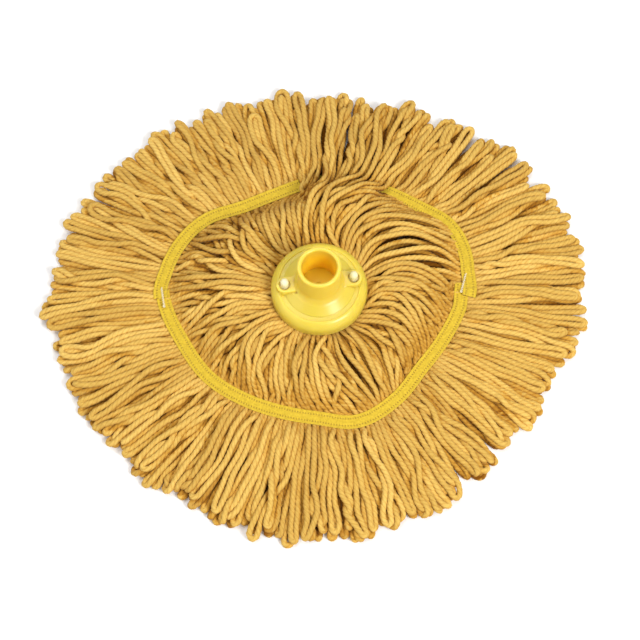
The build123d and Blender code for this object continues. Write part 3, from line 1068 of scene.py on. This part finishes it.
def bar_tack(name, node, direction):
    """A short dense zigzag of pale thread through both tapes where their ends lap."""
    low, high = (np.array(corner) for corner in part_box(node))
    middle = (low + high) / 2
    lengthwise = np.array([math.cos(math.radians(direction)), math.sin(math.radians(direction)), 0.0])
    crosswise = np.array([-lengthwise[1], lengthwise[0], 0.0])
    t = np.linspace(-1, 1, 181)
    zigzag = 2 / math.pi * np.arcsin(np.sin(t * 8 * math.pi))
    points = middle + lengthwise * (t * 7.6 * MM)[:, None] + crosswise * (zigzag * 0.7 * MM)[:, None]
    points[:, 2] = tape_levels["top", "back"][1] + (0.95 - 0.25 * np.abs(zigzag) ** 3) * MM
    # The thread is finished off with a few small turns at the near end.
    turns = np.linspace(0, 7 * math.pi, 60)[:, None]
    knot = points[0] + 0.7 * MM * (lengthwise * (np.cos(turns) - 1) + crosswise * np.sin(turns))
    knot[:, 2] += np.linspace(0.9 * MM, 0, len(knot))
    vertices, faces = thread_mesh(np.concatenate([knot, points])[None], 0.30 * MM, 8)
    finish_piece(add_mesh(name, vertices, faces, WHITE_THREAD), "tack_thread", node)


bar_tack("tack_right", "bar_tack_right", 75)
bar_tack("tack_left", "bar_tack_left", 100)

# ---------------------------------------------------------------- the moulding's gate mark

GATE_RADIUS = 1.7 * MM
GATE_HEIGHT = 0.6 * MM


def gate_mark():
    """The small round dome that the mould leaves in the middle of the bore's floor."""
    sides, rings = 24, 6
    around = np.arange(sides) * 2 * np.pi / sides
    vertices = []
    for k in range(rings):
        tilt = 0.5 * np.pi * k / rings
        radius, rise = GATE_RADIUS * math.cos(tilt), GATE_HEIGHT * math.sin(tilt)
        height = np.full(sides, socket_high[2] - BORE_DEPTH - 0.1 * MM + rise)
        vertices.append(np.stack([radius * np.cos(around), radius * np.sin(around), height], axis=1))
    return np.concatenate(vertices), tube_faces(1, rings, sides)


finish_piece(add_mesh("gate_mark", *gate_mark(), SOCKET), "socket_plastic")

# ---------------------------------------------------------------- camera, light and floor


def look_from(position, target):
    """The rotation of a camera or lamp at a position that looks at a target."""
    return (Vector(target) - Vector(position)).to_track_quat("-Z", "Y").to_euler()


ELEVATION = math.radians(68.0)
DISTANCE = 1.10
AIM = (0.0006, -0.0143, 0.0)
LENS = 81.2
camera = bpy.data.objects.new("camera", bpy.data.cameras.new("camera"))
bpy.context.scene.collection.objects.link(camera)
camera.location = (
    AIM[0],
    AIM[1] - DISTANCE * math.cos(ELEVATION),
    AIM[2] + DISTANCE * math.sin(ELEVATION),
)
camera.rotation_euler = look_from(camera.location, AIM)
camera.data.sensor_width = 36.0
camera.data.lens = LENS
camera.data.clip_start = 0.01
bpy.context.scene.camera = camera


def area_lamp(name, position, size, power):
    """A soft square lamp that looks at the origin."""
    data = bpy.data.lights.new(name, "AREA")
    data.shape = "RECTANGLE"
    data.size = data.size_y = size
    data.energy = power
    lamp = bpy.data.objects.new(name, data)
    lamp.location = position
    lamp.rotation_euler = look_from(position, (0, 0, 0))
    bpy.context.scene.collection.objects.link(lamp)


area_lamp("key", (0.75, -0.75, 1.15), 0.55, 19.0)
area_lamp("top", (-0.25, 0.35, 1.5), 1.4, 14.0)
area_lamp("fill", (-1.1, -0.5, 0.9), 0.9, 4.0)

world = bpy.data.worlds.new("world")
world.use_nodes = True
sky = world.node_tree.nodes["Background"]
sky.inputs["Color"].default_value = (1.0, 0.99, 0.97, 1.0)
sky.inputs["Strength"].default_value = 0.36
bpy.context.scene.world = world
bpy.context.scene.view_settings.view_transform = "Standard"

FLOOR_HALF = 3.0
paint = Nodes("floor")
paint.shade(Base_Color=(0.93, 0.93, 0.93, 1.0), Roughness=0.9)
corners = [(x * FLOOR_HALF, y * FLOOR_HALF, 0) for x, y in ((-1, -1), (1, -1), (1, 1), (-1, 1))]
add_mesh("floor", corners, [(0, 1, 2, 3)], paint.material)
